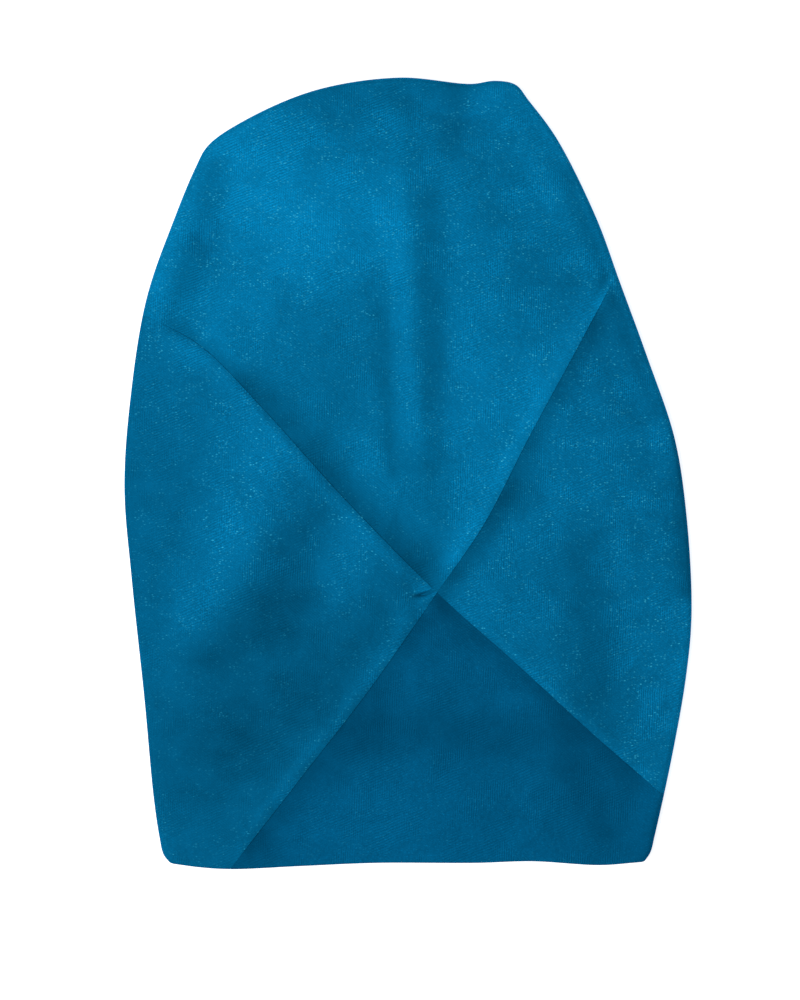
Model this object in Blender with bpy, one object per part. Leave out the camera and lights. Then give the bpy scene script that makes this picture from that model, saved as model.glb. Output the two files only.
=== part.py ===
"""A soft pre-tied bandana in blue satin, lying flat on its back with its crown towards +Y.

Metres, +Z up. The origin is under the middle of the cap, on the surface that it lies on.
Four front panels cross in an X. They turn under round the sides and over the top, and meet the
back panel there in a flat seam. The mouth for the head is open towards -Y.
"""

import bmesh
import bpy
import numpy as np

# Overall size, lying flat
CAP_WIDTH = 0.284
CAP_LENGTH = 0.3965
LOFT = 0.020  # height of the front away from its edges
SIDE_FOLD = 0.0045  # outer radius of the fold round the sides and the top
SIDE_SLOPE = 0.062  # how far in from the side fold the front reaches its loft
HEM_SLOPE = 0.095  # how far up from the hem the front reaches its loft
HEM_RISE = 0.25  # share of the rise over the side fold that is left at the hem

# Cloth, and how the layers cross
CLOTH = 0.0012  # single cloth of the back, brow and crown panels
WRAP_CLOTH = 0.0020  # doubled cloth of the two wraps
LAYER_GAP = 0.0006  # air between two layers that cross
SEAM_GAP = 0.0003  # between edges that are sewn side by side
LAP = 0.012  # margin of a panel that lies hidden under the one that crosses it
SETTLE = 0.032  # width over which an upper layer comes down to the loft
DIP = 0.020  # width over which a lower layer comes up to the loft
CROSSING_SINK = 0.0016  # how far all the layers sink where they cross
SEAM_TURN = 0.006  # width of the front panels turned under along the back seam
CORNER_EASE = 0.014  # reach over which the side fold turns at a corner of the outline

# Where things change along an arm of the X, as shares of its length from the crossing outwards
STEP_FADES = (0.80, 0.98)  # the layers' step runs out and they lie side by side
LAP_FADES = (0.55, 0.77)  # the hidden lap narrows to a butt seam
TIP_WIDENS = (0.00, 0.12)  # the brow panel's lap widens from its tip
BROW_TIP = 0.35  # share of the lap that the brow panel has at its tip
TUCK_START = 0.7  # how far out the other panels' hidden edges start, in laps
RAISED = 1.3  # how far from a fold an upper layer stays fully raised, in laps

# The outline, from the hem's left corner up the left side, over the top and down the right side.
# across is a share of half the width, up is a share of the length.
OUTLINE = (
    ("across", "up"),
    (-0.838, 0.008),
    (-0.862, 0.019),
    (-0.876, 0.040),
    (-0.897, 0.091),
    (-0.930, 0.217),
    (-0.975, 0.368),
    (-1.000, 0.482),
    (-0.979, 0.595),
    (-0.922, 0.721),
    (-0.824, 0.822),
    (-0.750, 0.886),
    (-0.706, 0.914),
    (-0.581, 0.945),
    (-0.327, 0.984),
    (-0.032, 1.000),
    (0.222, 0.992),
    (0.306, 0.996),
    (0.380, 0.991),
    (0.424, 0.972),
    (0.525, 0.923),
    (0.665, 0.822),
    (0.746, 0.743),
    (0.845, 0.646),
    (0.940, 0.545),
    (0.983, 0.445),
    (1.000, 0.322),
    (0.980, 0.242),
    (0.930, 0.141),
    (0.870, 0.043),
    (0.855, 0.022),
    (0.833, 0.010),
)

# The hem, from its left corner to its right one
HEM = (
    ("across", "up"),
    (-0.838, 0.008),
    (-0.732, 0.003),
    (-0.630, 0.001),
    (-0.380, 0.005),
    (-0.116, 0.009),
    (0.236, 0.009),
    (0.440, 0.011),
    (0.676, 0.006),
    (0.833, 0.010),
)

# The folded edges of the upper layers. The long fold runs from the hem to the right side, and the
# cross fold from the left side to the right one.
CROSSING = (0.102, 0.350)
LONG_FOLD = (
    ("across", "up"),
    (-0.627, 0.001),
    (-0.380, 0.115),
    (-0.134, 0.229),
    CROSSING,
    (0.268, 0.437),
    (0.430, 0.549),
    (0.588, 0.653),
    (0.730, 0.746),
)
CROSS_FOLD = (
    ("across", "up"),
    (-0.873, 0.695),
    (-0.732, 0.661),
    (-0.514, 0.583),
    (-0.239, 0.474),
    CROSSING,
    (0.377, 0.262),
    (0.641, 0.175),
    (0.880, 0.098),
)

# Soft folds and dents of the front, as straight runs. Places are shares as above, width is a share
# of half the width, and rise is a share of the loft.
SOFT_FOLDS = (
    ("name", "from_across", "from_up", "to_across", "to_up", "width", "rise"),
    ("crown_ridge", -0.060, 0.930, 0.050, 0.460, 0.085, 0.110),
    ("crown_valley", 0.090, 0.930, 0.150, 0.500, 0.075, -0.080),
    ("top_tuck", 0.185, 0.985, 0.165, 0.890, 0.060, -0.100),
    ("left_groove", -0.700, 0.860, -0.810, 0.740, 0.080, -0.120),
    ("left_ridge", -0.600, 0.540, -0.690, 0.340, 0.170, 0.110),
    ("left_dent", -0.300, 0.450, -0.700, 0.285, 0.150, -0.150),
    ("left_hollow", -0.560, 0.230, -0.420, 0.150, 0.160, -0.080),
    ("right_hollow", 0.380, 0.430, 0.330, 0.360, 0.120, -0.080),
    ("right_dent", 0.640, 0.420, 0.690, 0.250, 0.130, -0.110),
    ("brow_hollow", 0.040, 0.190, 0.460, 0.150, 0.150, -0.110),
    ("brow_swell", -0.250, 0.060, 0.250, 0.060, 0.110, 0.060),
)

# Satin colours, linear
CROWN_BLUE = (0.004, 0.170, 0.350, 1.0)
WRAP_BLUE = (0.004, 0.140, 0.300, 1.0)
BROW_BLUE = (0.003, 0.110, 0.250, 1.0)

# Cells round the side fold, and along the back panel's hem
FOLD_CELLS = 5
HEM_CELLS = 12


def rows_of(table):
    """The rows of a table without its heading."""
    return np.array(table[1:], dtype=float)


def in_metres(shares):
    """Plan points from shares of half the width and of the length."""
    scale = np.array([CAP_WIDTH / 2, CAP_LENGTH])
    return (np.asarray(shares, float) - [0.0, 0.5]) * scale


def smooth(t):
    """Rises from 0 to 1 as t does, level at both ends."""
    t = np.clip(t, 0.0, 1.0)
    return t * t * (3 - 2 * t)


def smooth_curve(points, steps=400):
    """Many points along a smooth curve through a few."""
    knots = np.concatenate([[0.0], np.sqrt(np.linalg.norm(np.diff(points, axis=0), axis=1))])
    knots = np.cumsum(knots)
    slopes = np.gradient(points, knots, axis=0)
    at = np.linspace(0.0, knots[-1], steps)
    i = np.clip(np.searchsorted(knots, at, side="right") - 1, 0, len(points) - 2)
    gap = (knots[i + 1] - knots[i])[:, None]
    t = (at - knots[i])[:, None] / gap
    start = (2 * t**3 - 3 * t**2 + 1) * points[i] + (t**3 - 2 * t**2 + t) * gap * slopes[i]
    end = (3 * t**2 - 2 * t**3) * points[i + 1] + (t**3 - t**2) * gap * slopes[i + 1]
    return start + end


class Line:
    """A plan curve, read by its share of length from 0 to 1."""

    def __init__(self, points):
        self.points = points
        steps = np.linalg.norm(np.diff(points, axis=0), axis=1)
        self.length = steps.sum()
        self.share = np.concatenate([[0.0], np.cumsum(steps)]) / self.length

    def at(self, share):
        """Points at these shares of the length."""
        return np.stack(
            [np.interp(share, self.share, self.points[:, axis]) for axis in (0, 1)], axis=-1
        )

    def left(self, share, reach=0.003):
        """Unit normals to the left of the line, read over a reach on both sides of each point."""
        window = reach / self.length
        ahead = self.at(np.clip(np.asarray(share) + window, 0.0, 1.0))
        along = ahead - self.at(np.clip(np.asarray(share) - window, 0.0, 1.0))
        along = along / np.linalg.norm(along, axis=-1, keepdims=True)
        return np.stack([-along[..., 1], along[..., 0]], axis=-1)

    def nearest(self, points):
        """Distance to the line, and share of its length at the nearest point."""
        gaps = np.linalg.norm(np.asarray(points)[..., None, :] - self.points, axis=-1)
        return gaps.min(axis=-1), self.share[gaps.argmin(axis=-1)]

    def piece(self, first, last):
        """The stretch from one share to another, in that direction."""
        return Line(self.at(np.linspace(first, last, 160)))


outline = Line(smooth_curve(in_metres(rows_of(OUTLINE)), steps=900))
hem_start, hem_end = in_metres(rows_of(HEM))[[0, -1]]
hem_directions = in_metres(rows_of(HEM))[[1, -2]] - [hem_start, hem_end]
hem_directions /= np.linalg.norm(hem_directions, axis=1, keepdims=True)


def inset(share, depth):
    """The outline's point at this share, moved in by a depth. At its ends it moves along the hem."""
    share = np.asarray(share, float)
    inward = -outline.left(share, CORNER_EASE)
    for at_end, along_hem in ((0.0, hem_directions[0]), (1.0, hem_directions[1])):
        near = 1 - smooth(np.abs(share - at_end) * outline.length / CORNER_EASE)
        inward = inward + near[..., None] * (along_hem - inward)
    inward = inward / np.linalg.norm(inward, axis=-1, keepdims=True)
    return outline.at(share) + inward * np.asarray(depth)[..., None]


def on_fold(point):
    """The share of the outline nearest to a plan point."""
    return float(outline.nearest(point)[1])


hem_points = in_metres(rows_of(HEM))
hem_points[0] = inset(0.0, SIDE_FOLD)
hem_points[-1] = inset(1.0, SIDE_FOLD)
hem = Line(smooth_curve(hem_points))

long_points = in_metres(rows_of(LONG_FOLD))
HEM_PLACE = float(hem.nearest(long_points[0])[1])
RIGHT_TOP = on_fold(long_points[-1])
long_points[0] = hem.at(HEM_PLACE)
long_points[-1] = inset(RIGHT_TOP, SIDE_FOLD)
long_fold = Line(smooth_curve(long_points))

cross_points = in_metres(rows_of(CROSS_FOLD))
LEFT_TOP = on_fold(cross_points[0])
RIGHT_LOW = on_fold(cross_points[-1])
cross_points[0] = inset(LEFT_TOP, SIDE_FOLD)
cross_points[-1] = inset(RIGHT_LOW, SIDE_FOLD)
cross_fold = Line(smooth_curve(cross_points))

# The four arms of the X, each from the crossing outwards
crossing = in_metres(CROSSING)
long_middle = float(long_fold.nearest(crossing)[1])
cross_middle = float(cross_fold.nearest(crossing)[1])
hem_arm = long_fold.piece(long_middle, 0.0)
crown_arm = long_fold.piece(long_middle, 1.0)
left_arm = cross_fold.piece(cross_middle, 0.0)
right_arm = cross_fold.piece(cross_middle, 1.0)


def soft_folds(points):
    """Height that the soft folds and dents add at plan points."""
    height = np.zeros(points.shape[:-1])
    for _, x0, y0, x1, y1, width, rise in SOFT_FOLDS[1:]:
        start, end = in_metres((x0, y0)), in_metres((x1, y1))
        run = end - start
        along = np.clip((points - start) @ run / (run @ run), 0.0, 1.0)
        aside = np.linalg.norm(points - start - along[..., None] * run, axis=-1)
        height += rise * LOFT * np.exp(-((aside / (width * CAP_WIDTH / 2)) ** 2))
    return height


def front_height(points):
    """Height of the front's outside where no layer crosses another."""
    from_side = outline.nearest(points)[0] - SIDE_FOLD
    from_hem = points[..., 1] - np.interp(points[..., 0], hem.points[:, 0], hem.points[:, 1])
    rise = HEM_RISE + (1 - HEM_RISE) * smooth(from_hem / HEM_SLOPE)
    rise = rise * smooth(from_side / SIDE_SLOPE) * (LOFT - 2 * SIDE_FOLD)
    clear_of_side = smooth(from_side / (4 * SIDE_FOLD))
    return 2 * SIDE_FOLD + rise + soft_folds(points) * clear_of_side


def between(share, fades):
    """Rises from 0 to 1 between two shares of an arm's length."""
    first, last = fades
    return smooth((share - first) / (last - first))


def raised_near(away):
    """How fully an upper layer is raised at a distance from what it crosses."""
    return 1 - smooth((away - RAISED * LAP) / SETTLE)


def over(points, arm):
    """How fully an upper layer is raised along an arm."""
    away, share = arm.nearest(points)
    return (1 - between(share, STEP_FADES)) * raised_near(away)


def under(points, arm, hidden):
    """How fully a lower layer is pressed down along an arm. hidden is 1 if it hides to the left."""
    away, share = arm.nearest(points)
    side = np.sum((points - arm.at(share)) * arm.left(share), axis=-1) * hidden
    pressed = np.where(side > 0, 1.0, 1 - smooth(away / DIP))
    return (1 - between(share, STEP_FADES)) * pressed


def brow_level(points):
    """Height of the lowest layer's outside over the plain front."""
    pressed = np.maximum(under(points, hem_arm, -1), under(points, right_arm, 1))
    sunk = CROSSING_SINK * raised_near(np.linalg.norm(points - crossing, axis=-1))
    return -pressed * (WRAP_CLOTH + LAYER_GAP) / 2 - sunk


def right_level(points):
    """The right wrap lies on the brow panel and goes under the crown."""
    pressed = -under(points, crown_arm, 1) * (CLOTH + LAYER_GAP) / 2
    raised = brow_level(points) + WRAP_CLOTH + LAYER_GAP
    return pressed + over(points, right_arm) * (raised - pressed)


def crown_level(points):
    """The crown lies on the right wrap and goes under the left wrap."""
    pressed = -under(points, left_arm, 1) * (WRAP_CLOTH + LAYER_GAP) / 2
    raised = right_level(points) + CLOTH + LAYER_GAP
    return pressed + over(points, crown_arm) * (raised - pressed)


def left_level(points):
    """The left wrap lies on the crown and on the brow panel."""
    step = WRAP_CLOTH + LAYER_GAP
    on_crown = over(points, left_arm) * (crown_level(points) + step)
    on_brow = over(points, hem_arm) * (brow_level(points) + step)
    return np.maximum(on_crown, on_brow)


def hidden_margin(share):
    """Width of a panel past an arm: a lap along most of it, and a butt seam at its end."""
    butt = between(share, LAP_FADES)
    return LAP * (1 - butt) - SEAM_GAP * butt


def hidden_edge(arm, hidden, start=0.0, tip=1.0):
    """The edge of a lower panel past an arm, from a distance past the crossing to the arm's end."""

    def edge(along):
        share = start / arm.length + (1 - start / arm.length) * along
        whole = tip + (1 - tip) * between(share, TIP_WIDENS)
        offset = hidden * hidden_margin(share) * whole
        return arm.at(share) + arm.left(share) * offset[..., None]

    return edge


def straight(start, end):
    """A straight short edge between two plan points."""
    return lambda along: start + np.asarray(along)[..., None] * (end - start)


class Panel:
    """A front panel: a plan patch up to the side fold, then the fold and the turn under it."""

    def __init__(self, name, colour, cloth, level, outer, start, end, inner, cells):
        self.name, self.colour, self.cloth, self.level = name, colour, cloth, level
        self.outer = outer
        self.start, self.end, self.inner = start, end, inner
        self.cells = cells

    def rim(self, across, depth):
        """Plan points on the panel's stretch of the outline, moved in by a depth."""
        first, last = self.outer
        return inset(first + (last - first) * across, depth)

    def plan(self, across, out):
        """Plan points of the patch: across from one edge to the other, out towards the side."""
        rim = self.rim(across, np.full_like(across, SIDE_FOLD))
        inner = self.inner(across)
        ends = np.array([0.0, 1.0])
        corner = self.inner(ends)
        rim_corner = self.rim(ends, np.full(2, SIDE_FOLD))
        a, o = across[..., None], out[..., None]
        patch = (1 - o) * inner + o * rim
        for edge, weight, k in ((self.start, 1 - a, 0), (self.end, a, 1)):
            line = edge(out)
            first, last = edge(np.zeros(1))[0], edge(np.ones(1))[0]
            line = line + (1 - o) * (corner[k] - first) + o * (rim_corner[k] - last)
            patch += weight * (line - (1 - o) * corner[k] - o * rim_corner[k])
        return patch

    def surfaces(self, across, row):
        """Outside and inside points for places across and rows out, both as arrays."""
        cells_out = self.cells[1]
        plan = self.plan(across, np.clip(row / cells_out, 0.0, 1.0))
        height = front_height(plan) + self.level(plan)
        flat = [np.concatenate([plan, (height - drop)[:, None]], 1) for drop in (0, self.cloth)]

        turn = np.pi * np.clip((row - cells_out) / FOLD_CELLS, 0.0, 1.0)
        tail = np.clip(row - cells_out - FOLD_CELLS, 0.0, 1.0) * SEAM_TURN
        folded = []
        for radius in (SIDE_FOLD, SIDE_FOLD - self.cloth):
            place = self.rim(across, SIDE_FOLD - radius * np.sin(turn) + tail)
            folded.append(np.concatenate([place, (SIDE_FOLD + radius * np.cos(turn))[:, None]], 1))
        on_patch = (row <= cells_out)[:, None]
        return [np.where(on_patch, a, b) for a, b in zip(flat, folded)]


def satin(name, colour):
    """A smooth satin material."""
    material = bpy.data.materials.new(name)
    material.use_nodes = True
    shader = material.node_tree.nodes["Principled BSDF"]
    shader.inputs["Base Color"].default_value = colour
    shader.inputs["Roughness"].default_value = 0.5
    shader.inputs["Metallic"].default_value = 0.0
    return material


def add_object(name, bm, colour):
    """Turns a bmesh into a named object with its own material."""
    bmesh.ops.recalc_face_normals(bm, faces=bm.faces)
    mesh = bpy.data.meshes.new(name)
    bm.to_mesh(mesh)
    bm.free()
    mesh.shade_smooth()
    mesh.set_sharp_from_angle(angle=np.radians(50))
    mesh.materials.append(satin(name + "_satin", colour))
    thing = bpy.data.objects.new(name, mesh)
    bpy.context.scene.collection.objects.link(thing)


def build_front(panel):
    """A grid extruded into a slab, then laid on the panel's outside and inside."""
    across_cells, cells_out = panel.cells
    rows = cells_out + FOLD_CELLS + 1
    bm = bmesh.new()
    bmesh.ops.create_grid(bm, x_segments=across_cells, y_segments=rows, size=0.5)
    made = bmesh.ops.extrude_face_region(bm, geom=bm.faces[:])
    inside = {part for part in made["geom"] if isinstance(part, bmesh.types.BMVert)}
    places = np.array([vert.co[:2] for vert in bm.verts]) + 0.5
    outer, inner = panel.surfaces(places[:, 0], np.round(places[:, 1] * rows))
    for vert, out_point, in_point in zip(bm.verts, outer, inner):
        vert.co = in_point if vert in inside else out_point
    add_object(panel.name, bm, panel.colour)


def build_back(panels):
    """The back panel: a flat sheet inside the turned edges of the front panels."""
    stretches = [np.linspace(*panel.outer, panel.cells[0] + 1)[1:] for panel in panels]
    share = np.sort(np.concatenate([[0.0], *stretches]))
    rim = inset(share, np.full_like(share, SIDE_FOLD + SEAM_TURN + SEAM_GAP))
    edge = hem.at(np.linspace(1.0, 0.0, HEM_CELLS + 1))
    inside = (edge[:, 0] > rim[0, 0] + SEAM_TURN) & (edge[:, 0] < rim[-1, 0] - SEAM_TURN)
    bm = bmesh.new()
    corners = [bm.verts.new((x, y, 0.0)) for x, y in np.concatenate([rim, edge[inside]])]
    sheet = bm.faces.new(corners)
    made = bmesh.ops.extrude_face_region(bm, geom=[sheet])
    raised = [part for part in made["geom"] if isinstance(part, bmesh.types.BMVert)]
    bmesh.ops.translate(bm, verts=raised, vec=(0.0, 0.0, CLOTH))
    bmesh.ops.triangulate(bm, faces=bm.faces[:])
    add_object("back_panel", bm, WRAP_BLUE)


def front_panels():
    """The four front panels, from the lowest layer to the highest."""
    tuck_start = TUCK_START * LAP
    seam = SEAM_GAP / outline.length
    hem_seam = SEAM_GAP / hem.length
    brow_tip = crossing + BROW_TIP * LAP * (right_arm.left(0.0) - hem_arm.left(0.0))

    brow_side = hidden_edge(hem_arm, -1, tip=BROW_TIP)
    brow_top = hidden_edge(right_arm, 1, tip=BROW_TIP)
    brow_hem = hem.piece(HEM_PLACE + hem_seam, 1.0)
    brow = Panel(
        "brow_panel",
        BROW_BLUE,
        CLOTH,
        brow_level,
        outer=(RIGHT_LOW + seam, 1.0),
        start=brow_top,
        end=brow_hem.at,
        inner=lambda across: brow_side(across)
        + (1 - across)[..., None] * (brow_tip - brow_side(np.zeros(1))[0]),
        cells=(9, 13),
    )

    right_tuck = hidden_edge(crown_arm, 1, start=tuck_start)
    right = Panel(
        "right_wrap",
        WRAP_BLUE,
        WRAP_CLOTH,
        right_level,
        outer=(RIGHT_TOP + seam, RIGHT_LOW),
        start=right_tuck,
        end=right_arm.at,
        inner=straight(right_tuck(np.zeros(1))[0], crossing),
        cells=(18, 14),
    )

    crown_tuck = hidden_edge(left_arm, 1, start=tuck_start)
    crown = Panel(
        "crown_panel",
        CROWN_BLUE,
        CLOTH,
        crown_level,
        outer=(LEFT_TOP + seam, RIGHT_TOP),
        start=crown_tuck,
        end=crown_arm.at,
        inner=straight(crown_tuck(np.zeros(1))[0], crossing),
        cells=(34, 19),
    )

    left_hem = hem.piece(HEM_PLACE, 0.0)
    left_inner = hem_arm.piece(1.0, 0.0)
    left = Panel(
        "left_wrap",
        WRAP_BLUE,
        WRAP_CLOTH,
        left_level,
        outer=(0.0, LEFT_TOP),
        start=left_hem.at,
        end=left_arm.at,
        inner=left_inner.at,
        cells=(20, 13),
    )
    return brow, right, crown, left


def main():
    for thing in list(bpy.data.objects):
        bpy.data.objects.remove(thing, do_unlink=True)
    panels = front_panels()
    build_back(panels)
    for panel in panels:
        build_front(panel)


main()
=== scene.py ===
"""Dresses the pre-tied bandana in blue satin, lying on a pale studio floor.

Metres, +Z up, in the frame of the CAD. The cap lies on its back with its crown towards +Y, and its
front panels cross in an X. Each operator makes one piece of cloth or the stage.
"""

import bmesh
import bpy
import numpy as np
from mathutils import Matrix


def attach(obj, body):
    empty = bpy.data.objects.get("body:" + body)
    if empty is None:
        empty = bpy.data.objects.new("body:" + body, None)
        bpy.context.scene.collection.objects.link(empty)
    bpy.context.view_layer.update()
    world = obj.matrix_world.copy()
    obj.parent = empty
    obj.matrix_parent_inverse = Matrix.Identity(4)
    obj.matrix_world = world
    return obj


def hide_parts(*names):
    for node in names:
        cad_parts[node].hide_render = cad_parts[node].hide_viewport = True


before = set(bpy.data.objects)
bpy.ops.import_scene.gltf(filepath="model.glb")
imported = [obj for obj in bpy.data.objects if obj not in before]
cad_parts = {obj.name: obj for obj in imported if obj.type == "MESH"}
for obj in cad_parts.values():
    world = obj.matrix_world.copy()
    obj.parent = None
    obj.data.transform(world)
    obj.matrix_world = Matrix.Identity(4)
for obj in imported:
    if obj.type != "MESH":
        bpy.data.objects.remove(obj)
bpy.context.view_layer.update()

bl_info = {
    "name": "Pre-tied bandana",
    "version": (1, 0, 0),
    "blender": (4, 2, 0),
    "location": "3D View > Sidebar > Bandana",
    "description": "Makes the satin panels of a flat pre-tied bandana, and its stage",
    "category": "Object",
}

# The outline, from the hem's left corner up the left side, over the top and down the right side.
# across is a share of half the width, up is a share of the length.
OUTLINE = (
    ("across", "up"),
    (-0.838, 0.008),
    (-0.862, 0.019),
    (-0.876, 0.040),
    (-0.897, 0.091),
    (-0.930, 0.217),
    (-0.975, 0.368),
    (-1.000, 0.482),
    (-0.979, 0.595),
    (-0.922, 0.721),
    (-0.824, 0.822),
    (-0.750, 0.886),
    (-0.706, 0.914),
    (-0.581, 0.945),
    (-0.327, 0.984),
    (-0.032, 1.000),
    (0.222, 0.992),
    (0.306, 0.996),
    (0.380, 0.991),
    (0.424, 0.972),
    (0.525, 0.923),
    (0.665, 0.822),
    (0.746, 0.743),
    (0.845, 0.646),
    (0.940, 0.545),
    (0.983, 0.445),
    (1.000, 0.322),
    (0.980, 0.242),
    (0.930, 0.141),
    (0.870, 0.043),
    (0.855, 0.022),
    (0.833, 0.010),
)

# The hem, from its left corner to its right one
HEM = (
    ("across", "up"),
    (-0.838, 0.008),
    (-0.732, 0.003),
    (-0.630, 0.001),
    (-0.380, 0.005),
    (-0.116, 0.009),
    (0.236, 0.009),
    (0.440, 0.011),
    (0.676, 0.006),
    (0.833, 0.010),
)

# The folded edges of the upper layers
CROSSING = (0.102, 0.350)
LONG_FOLD = (
    ("across", "up"),
    (-0.627, 0.001),
    (-0.380, 0.115),
    (-0.134, 0.229),
    CROSSING,
    (0.268, 0.437),
    (0.430, 0.549),
    (0.588, 0.653),
    (0.730, 0.746),
)
CROSS_FOLD = (
    ("across", "up"),
    (-0.873, 0.695),
    (-0.732, 0.661),
    (-0.514, 0.583),
    (-0.239, 0.474),
    CROSSING,
    (0.377, 0.262),
    (0.641, 0.175),
    (0.880, 0.098),
)

# Soft folds and dents of the front, as straight runs. Places are shares as above, width is a share
# of half the width, and rise is in millimetres.
SOFT_FOLDS = (
    ("name", "from_across", "from_up", "to_across", "to_up", "width", "rise"),
    ("crown_ridge", -0.035, 0.965, 0.011, 0.731, 0.060, 1.5),
    ("crown_ridge_low", 0.011, 0.731, 0.067, 0.441, 0.055, 1.3),
    ("crown_valley", 0.113, 0.946, 0.134, 0.567, 0.070, -1.5),
    ("crown_crease", -0.106, 0.757, -0.056, 0.517, 0.040, -0.9),
    ("crown_swell", -0.380, 0.858, -0.275, 0.782, 0.220, 1.6),
    ("top_tuck", 0.232, 0.999, 0.211, 0.908, 0.065, -2.2),
    ("top_dip", -0.275, 0.976, 0.113, 0.981, 0.070, -1.0),
    ("left_groove", -0.676, 0.889, -0.718, 0.794, 0.050, -1.8),
    ("left_groove_low", -0.718, 0.794, -0.810, 0.701, 0.050, -1.6),
    ("left_notch", -0.852, 0.694, -0.782, 0.680, 0.030, -0.5),
    ("left_ridge", -0.380, 0.555, -0.514, 0.435, 0.120, 2.0),
    ("left_ridge_low", -0.514, 0.435, -0.838, 0.265, 0.130, 1.9),
    ("left_dent", -0.204, 0.492, -0.380, 0.366, 0.110, -1.9),
    ("left_dent_low", -0.380, 0.366, -0.715, 0.259, 0.110, -2.2),
    ("left_hollow", -0.680, 0.189, -0.415, 0.139, 0.160, -1.2),
    ("right_hollow", 0.342, 0.479, 0.465, 0.467, 0.060, -1.0),
    ("right_dent", 0.535, 0.378, 0.711, 0.227, 0.120, -1.7),
    ("right_swell", 0.817, 0.492, 0.852, 0.340, 0.120, 1.2),
    ("right_ridge", 0.218, 0.391, 0.535, 0.290, 0.080, 0.8),
    ("brow_hollow", -0.028, 0.195, 0.535, 0.158, 0.100, -1.7),
    ("brow_swell", -0.275, 0.063, 0.077, 0.069, 0.110, 1.4),
    ("brow_hollow_right", 0.676, 0.101, 0.746, 0.025, 0.080, -0.9),
)

# Painted light and shade on the satin, as straight runs, with places and widths as above: the
# lighter runs are painted light and the darker runs painted shade, for how the lamp falls on the
# cloth's slopes, rims and creases. The last column is added to the satin's brightness.
PAINTED_LIGHT_STROKES = (
    ("name", "from_across", "from_up", "to_across", "to_up", "width", "tone"),
    ("crown_light", -0.556, 0.880, -0.222, 0.817, 0.250, 0.25),
    ("crown_top", -0.380, 0.975, 0.130, 0.986, 0.075, -0.16),
    ("crown_tuck", 0.176, 0.986, 0.155, 0.908, 0.045, -0.15),
    ("crown_right_light", 0.352, 0.956, 0.482, 0.845, 0.120, 0.08),
    ("crown_ridge", -0.042, 0.908, -0.032, 0.744, 0.032, 0.05),
    ("crown_ridge_low", -0.021, 0.712, 0.035, 0.555, 0.032, 0.05),
    ("crown_valley", 0.085, 0.845, 0.106, 0.593, 0.075, -0.12),
    ("crown_crease", -0.092, 0.767, -0.056, 0.504, 0.026, -0.14),
    ("crown_middle", -0.239, 0.681, -0.275, 0.593, 0.200, -0.15),
    ("crown_low", 0.025, 0.504, 0.077, 0.416, 0.100, -0.18),
    ("rim_groove", -0.680, 0.885, -0.704, 0.827, 0.050, -0.24),
    ("rim_groove_middle", -0.739, 0.792, -0.778, 0.739, 0.048, -0.18),
    ("rim_groove_low", -0.813, 0.711, -0.831, 0.699, 0.045, -0.07),
    ("rim_light", -0.810, 0.839, -0.887, 0.738, 0.040, 0.14),
    ("left_notch", -0.838, 0.691, -0.754, 0.671, 0.022, -0.08),
    ("left_end_light", -0.711, 0.673, -0.606, 0.638, 0.050, 0.2),
    ("left_tab", -0.838, 0.662, -0.732, 0.641, 0.035, 0.1),
    ("left_ridge", -0.493, 0.542, -0.592, 0.467, 0.130, 0.15),
    ("left_ridge_low", -0.655, 0.410, -0.768, 0.325, 0.105, 0.17),
    ("left_dent", -0.317, 0.441, -0.380, 0.391, 0.090, -0.14),
    ("left_pit", -0.423, 0.340, -0.680, 0.271, 0.085, -0.16),
    ("left_pit_low", -0.415, 0.296, -0.514, 0.170, 0.190, -0.24),
    ("left_inner", -0.056, 0.356, -0.317, 0.208, 0.110, -0.19),
    ("left_low", -0.732, 0.101, -0.644, 0.025, 0.260, -0.2),
    ("left_whole", -0.908, 0.492, -0.768, 0.214, 0.360, -0.19),
    ("pinch_tab", 0.042, 0.334, 0.067, 0.325, 0.022, 0.14),
    ("right_dent", 0.588, 0.391, 0.697, 0.235, 0.105, -0.2),
    ("right_hollow", 0.289, 0.456, 0.423, 0.477, 0.065, -0.15),
    ("right_light", 0.535, 0.618, 0.817, 0.492, 0.220, 0.13),
    ("right_light_low", 0.852, 0.353, 0.870, 0.240, 0.160, 0.14),
    ("right_rim", 0.965, 0.542, 0.993, 0.353, 0.045, -0.34),
    ("right_rim_top", 0.563, 0.876, 0.870, 0.578, 0.030, -0.16),
    ("right_low", 0.289, 0.309, 0.817, 0.149, 0.060, -0.04),
    ("top_start_dark", 0.687, 0.745, 0.634, 0.709, 0.020, -0.16),
    ("top_start_light", 0.722, 0.743, 0.669, 0.709, 0.020, 0.14),
    ("brow_middle", -0.081, 0.183, 0.553, 0.158, 0.105, -0.18),
    ("brow_left", -0.162, 0.161, -0.257, 0.124, 0.070, -0.12),
    ("brow_low", -0.292, 0.061, 0.060, 0.069, 0.120, 0.06),
    ("brow_right", 0.641, 0.088, 0.835, 0.032, 0.150, -0.12),
    ("brow_tip", 0.102, 0.290, 0.113, 0.240, 0.160, -0.08),
)

# The small pinch in the left wrap beside the crossing: its run, and the width, height and painted
# light of its groove and of the lip above it (painted shade in the groove, a painted highlight on
# the lip)
PINCH = ((0.020, 0.3455), (0.056, 0.3480), (0.094, 0.3525))
PINCH_GROOVE = (0.0008, -0.0008, -0.60)
PINCH_LIP = (0.0024, 0.0009, 0.30)
PINCH_SIDE_REACH = 0.001  # reach over which the groove's direction is read

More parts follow.
